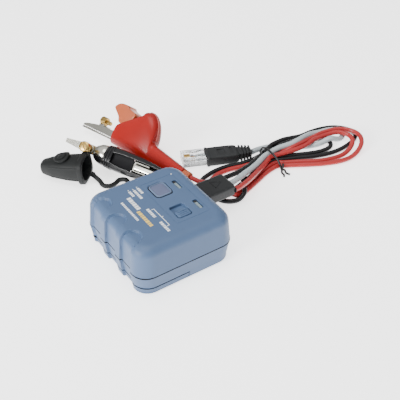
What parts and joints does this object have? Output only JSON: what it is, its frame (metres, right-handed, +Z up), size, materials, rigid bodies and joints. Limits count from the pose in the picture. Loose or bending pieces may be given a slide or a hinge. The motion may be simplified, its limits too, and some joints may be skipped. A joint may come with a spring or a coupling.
{
  "type": "cable tone generator",
  "caption": "Palm-size blue cable tester with finger grooves, push button and slide switch, test leads with insulated clips, and a modular plug on a grey cable.",
  "frame": {"origin": "centre of the housing underside, which rests on the surface", "axes": "+Z up, +X across the housing along its legends, +Y towards the strain relief and the leads"},
  "size_m": [0.1618, 0.2028, 0.031],
  "materials": {
    "blue_plastic": "satin moulded",
    "lilac_plastic": "satin moulded",
    "dark_plastic": "satin",
    "black_rubber": "matte",
    "red_vinyl": "satin",
    "orange_plastic": "translucent",
    "grey_vinyl": "satin",
    "clear_plastic": "clear",
    "light_plastic": "clear tinted",
    "board_green": "satin",
    "nickel": "plated",
    "steel": "bright",
    "brass": "bright",
    "gold": "plated",
    "grey_metal": "satin"
  },
  "bodies": {
    "housing": {"battery": "dark_plastic", "battery_snap": "dark_plastic", "black_boot": "black_rubber", "black_end_collar": "dark_plastic", "black_jaw_spring": "steel", "black_lead": "black_rubber", "black_lower_jaw": "nickel", "black_pivot_pin": "steel", "bottom_cover": "blue_plastic", "button_switch": "dark_plastic", "capacitor": "grey_metal", "circuit_board": "board_green", "cover_screw_1": "steel", "cover_screw_2": "steel", "cover_strap": "black_rubber", "jaw_cover": "black_rubber", "led_left": "light_plastic", "led_right": "light_plastic", "light_window_left": "clear_plastic", "light_window_right": "clear_plastic", "modular_cable": "grey_vinyl", "plug_body": "clear_plastic", "plug_boot": "black_rubber", "plug_contacts": "gold", "red_boot": "red_vinyl", "red_end_collar": "orange_plastic", "red_jaw_spring": "steel", "red_lead": "red_vinyl", "red_lower_jaw": "nickel", "red_pivot_pin": "steel", "slide_switch": "dark_plastic", "strain_relief": "black_rubber", "tone_chip": "dark_plastic", "top_cover": "blue_plastic", "transformer": "dark_plastic", "twist_tie": "dark_plastic"},
    "power_button": {"power_button": "lilac_plastic"},
    "slide_knob": {"slide_knob": "lilac_plastic"},
    "battery_door": {"battery_door": "blue_plastic"},
    "red_jaw": {"red_upper_jaw": "nickel", "red_thumb_tip": "orange_plastic"},
    "black_jaw": {"black_upper_jaw": "nickel", "black_thumb_tip": "dark_plastic"},
    "red_screw": {"red_terminal_screw": "brass"},
    "black_screw": {"black_terminal_screw": "brass"},
    "plug_latch": {"plug_latch": "clear_plastic"}
  },
  "joints": [
    {"name": "power_button_press", "type": "slide", "parent": "housing", "child": "power_button", "axis": [0, 0, -1], "range_m": [0, 0.0012], "stiffness_N_per_m": 400},
    {"name": "slide_knob_travel", "type": "slide", "parent": "housing", "child": "slide_knob", "axis": [-1, 0, 0], "range_m": [0, 0.0046]},
    {"name": "battery_door_slide", "type": "slide", "parent": "housing", "child": "battery_door", "axis": [0, -1, 0], "range_m": [0, 0.034]},
    {"name": "red_clip_open", "type": "hinge", "parent": "housing", "child": "red_jaw", "pos_m": [-0.09457, 0.03181, 0.00876], "axis": [-0.1983, 0.7399, -0.6428], "range_deg": [0, 24], "stiffness_Nm_per_rad": 0.5},
    {"name": "black_clip_open", "type": "hinge", "parent": "housing", "child": "black_jaw", "pos_m": [-0.07293, 0.01632, 0.00936], "axis": [0.2759, -0.6293, -0.7265], "range_deg": [0, 18], "stiffness_Nm_per_rad": 0.5},
    {"name": "red_terminal_turn", "type": "hinge", "parent": "red_jaw", "child": "red_screw", "pos_m": [-0.11488, 0.02917, 0.01198], "axis": [0.9659, 0.2588, 0], "continuous": true},
    {"name": "black_terminal_turn", "type": "hinge", "parent": "housing", "child": "black_screw", "pos_m": [-0.08646, -0.00022, 0.01854], "axis": [-0.4408, 0.5888, -0.6775], "continuous": true},
    {"name": "plug_latch_press", "type": "hinge", "parent": "housing", "child": "plug_latch", "pos_m": [-0.05916, 0.05336, 0.0011], "axis": [0.9298, -0.3681, 0], "range_deg": [0, 3], "stiffness_Nm_per_rad": 0.05}
  ]
}
